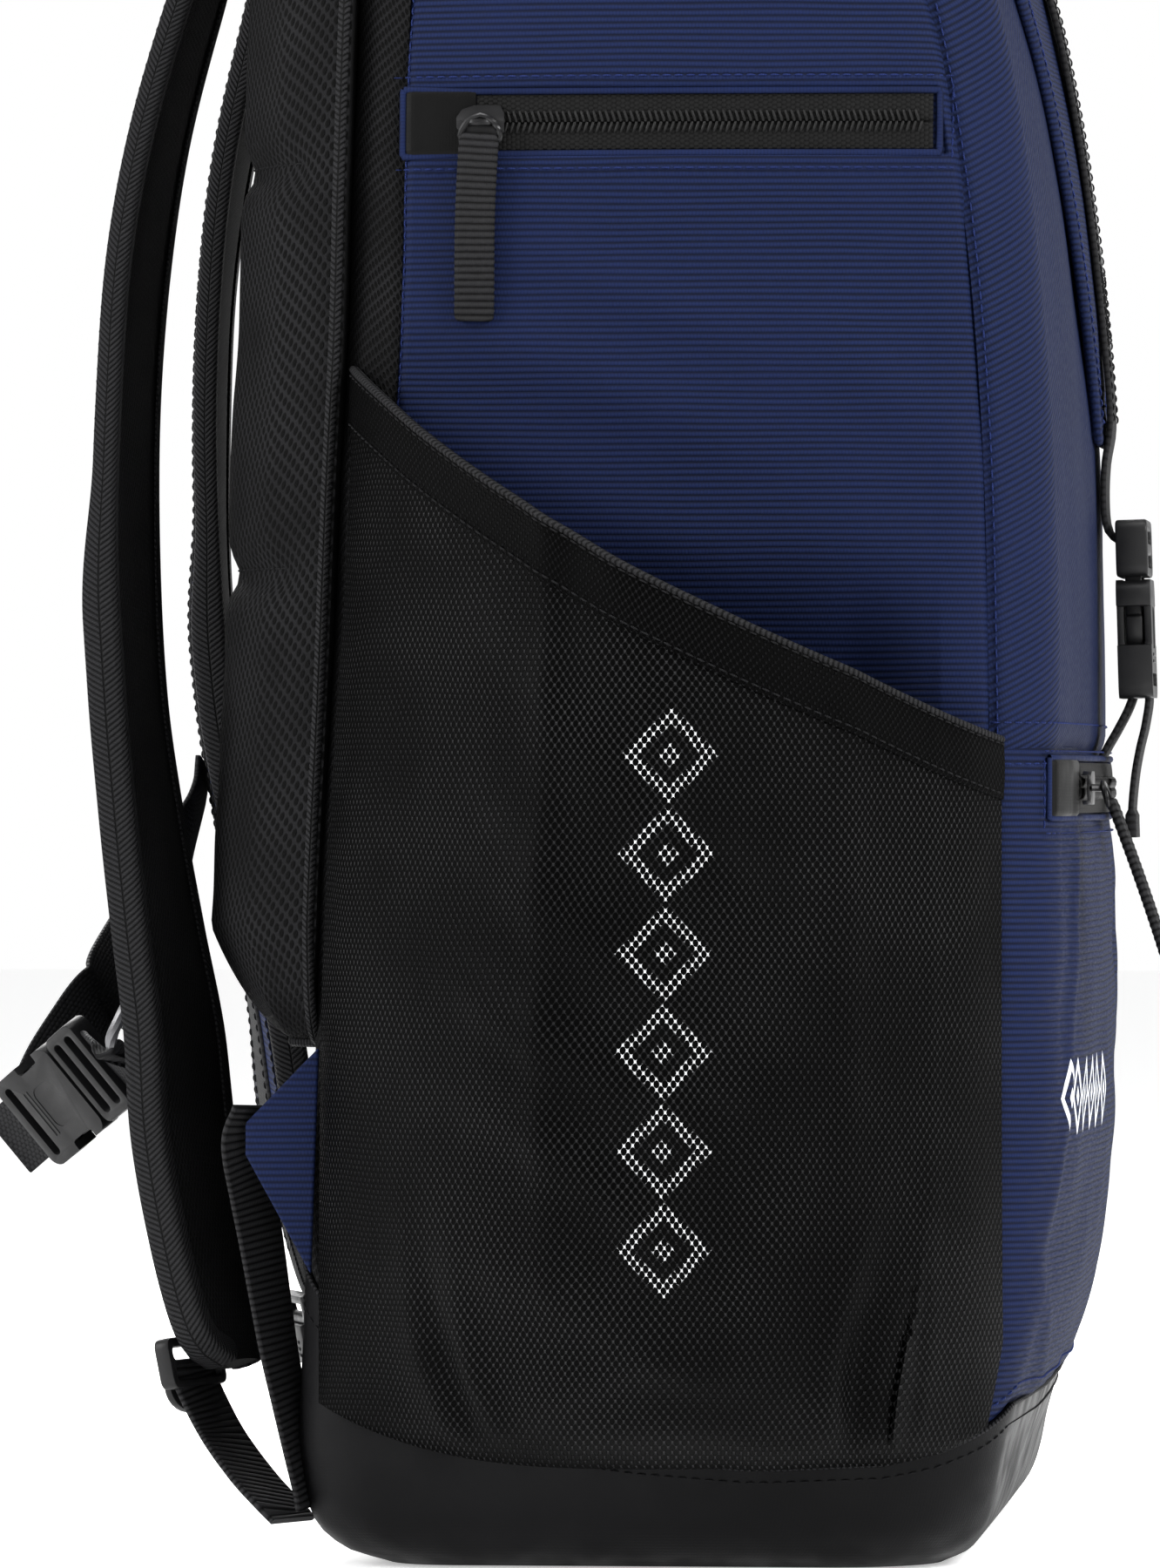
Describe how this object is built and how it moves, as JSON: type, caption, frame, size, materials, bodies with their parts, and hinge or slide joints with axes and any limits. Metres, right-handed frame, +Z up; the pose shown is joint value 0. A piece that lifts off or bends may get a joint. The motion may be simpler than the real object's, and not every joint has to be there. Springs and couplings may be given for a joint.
{
  "type": "sports backpack",
  "caption": "Tall soft sports backpack with a tapered top lid on one centre buckle, mesh side pockets for bottles, zipped pockets, a padded mesh back and a shoulder harness.",
  "frame": {"origin": "the middle of the overall width and depth, on the flat underside the bag stands on", "axes": "+Z up, -Y to the front of the bag, +Y to the harness and the wearer's back, -X to the wearer's left"},
  "size_m": [0.454, 0.3098, 0.5079],
  "materials": {
    "navy_fabric": "fine ribbed navy polyester with a soft coating",
    "coated_base": "black coated tarpaulin-like fabric, dull sheen",
    "stretch_mesh": "black stretch net, double knit",
    "air_mesh": "black spacer mesh over foam",
    "webbing": "black woven polyester webbing",
    "acetal": "black moulded acetal, satin",
    "zip_tape": "woven zip tape with nylon coil",
    "rubber_patch": "matt rubberised end patch",
    "black_metal": "black lacquered zinc",
    "board": "stiff plastic sheet",
    "lining": "plain woven polyester lining"
  },
  "bodies": {
    "bag": {"base": "coated_base", "front_upper_panel": "navy_fabric", "front_pocket": "navy_fabric", "front_inner_panel": "lining", "back_panel": "air_mesh", "rim_binding": "webbing", "base_board": "board", "frame_sheet": "board", "laptop_sleeve": "lining", "front_zip_tape": "zip_tape", "front_zip_patch": "rubber_patch", "lumbar_pad": "air_mesh", "harness_yoke": "webbing", "front_buckle_socket": "acetal", "front_lower_webbing": "webbing", "front_strap_tail": "webbing", "sternum_buckle_plug": "acetal", "sternum_webbing_left": "webbing", "sternum_glide_left": "acetal", "sternum_webbing_right": "webbing", "side_panel_left": "navy_fabric", "bottle_pocket_left": "stretch_mesh", "pocket_hem_left": "webbing", "side_zip_tape_left": "zip_tape", "side_zip_patch_left": "rubber_patch", "back_pad_left": "air_mesh", "shoulder_strap_left": "air_mesh", "lower_webbing_left": "webbing", "wing_webbing_left": "webbing", "wing_tab_left": "navy_fabric", "side_panel_right": "navy_fabric", "bottle_pocket_right": "stretch_mesh", "pocket_hem_right": "webbing", "side_zip_tape_right": "zip_tape", "side_zip_patch_right": "rubber_patch", "back_pad_right": "air_mesh", "shoulder_strap_right": "air_mesh", "lower_webbing_right": "webbing", "wing_webbing_right": "webbing", "wing_tab_right": "navy_fabric"},
    "lid": {"lid": "navy_fabric", "lid_strap": "webbing"},
    "front_plug": {"front_buckle_plug": "acetal"},
    "front_slider": {"front_zip_slider": "black_metal"},
    "front_pull": {"front_zip_pull": "webbing"},
    "haul_handle": {"haul_loop": "webbing"},
    "sternum_socket": {"sternum_buckle_socket": "acetal"},
    "side_slider_left": {"side_zip_slider_left": "black_metal"},
    "side_pull_left": {"side_zip_pull_left": "webbing"},
    "adjuster_left": {"strap_adjuster_left": "acetal"},
    "side_slider_right": {"side_zip_slider_right": "black_metal"},
    "side_pull_right": {"side_zip_pull_right": "webbing"},
    "adjuster_right": {"strap_adjuster_right": "acetal"}
  },
  "joints": [
    {"name": "lid_hinge", "type": "hinge", "parent": "bag", "child": "lid", "pos_m": [0, 0.04791, 0.481], "axis": [-1, 0, 0], "range_deg": [0, 85]},
    {"name": "front_plug_slide", "type": "slide", "parent": "lid", "child": "front_plug", "axis": [0, 0, 1], "range_m": [0, 0.022]},
    {"name": "front_zip_travel", "type": "hinge", "parent": "bag", "child": "front_slider", "pos_m": [0, 1.63547, 0.196], "axis": [0, 0, 1], "range_deg": [0, 2.45]},
    {"name": "front_pull_hinge", "type": "hinge", "parent": "front_slider", "child": "front_pull", "pos_m": [-0.10035, -0.13643, 0.196], "axis": [-0.9984, 0.0566, 0], "range_deg": [-15, 110]},
    {"name": "haul_loop_hinge", "type": "hinge", "parent": "bag", "child": "haul_handle", "pos_m": [0, 0.05941, 0.465], "axis": [1, 0, 0], "range_deg": [-5, 75]},
    {"name": "sternum_socket_slide", "type": "slide", "parent": "bag", "child": "sternum_socket", "axis": [0.671, 0.5871, -0.4529], "range_m": [0, 0.018]},
    {"name": "side_zip_travel_left", "type": "slide", "parent": "bag", "child": "side_slider_left", "axis": [0, -1, 0], "range_m": [0, 0.1]},
    {"name": "side_pull_hinge_left", "type": "hinge", "parent": "side_slider_left", "child": "side_pull_left", "pos_m": [-0.16507, 0.01791, 0.3625], "axis": [0, 1, 0], "range_deg": [0, 120]},
    {"name": "adjuster_tilt_left", "type": "hinge", "parent": "bag", "child": "adjuster_left", "pos_m": [-0.1252, 0.09591, 0.0545], "axis": [0.9511, -0.309, 0], "range_deg": [0, 25]},
    {"name": "side_zip_travel_right", "type": "slide", "parent": "bag", "child": "side_slider_right", "axis": [0, -1, 0], "range_m": [0, 0.1]},
    {"name": "side_pull_hinge_right", "type": "hinge", "parent": "side_slider_right", "child": "side_pull_right", "pos_m": [0.16507, 0.01791, 0.3625], "axis": [0, -1, 0], "range_deg": [0, 120]},
    {"name": "adjuster_tilt_right", "type": "hinge", "parent": "bag", "child": "adjuster_right", "pos_m": [0.1252, 0.09591, 0.0545], "axis": [0.9511, 0.309, 0], "range_deg": [0, 25]}
  ]
}
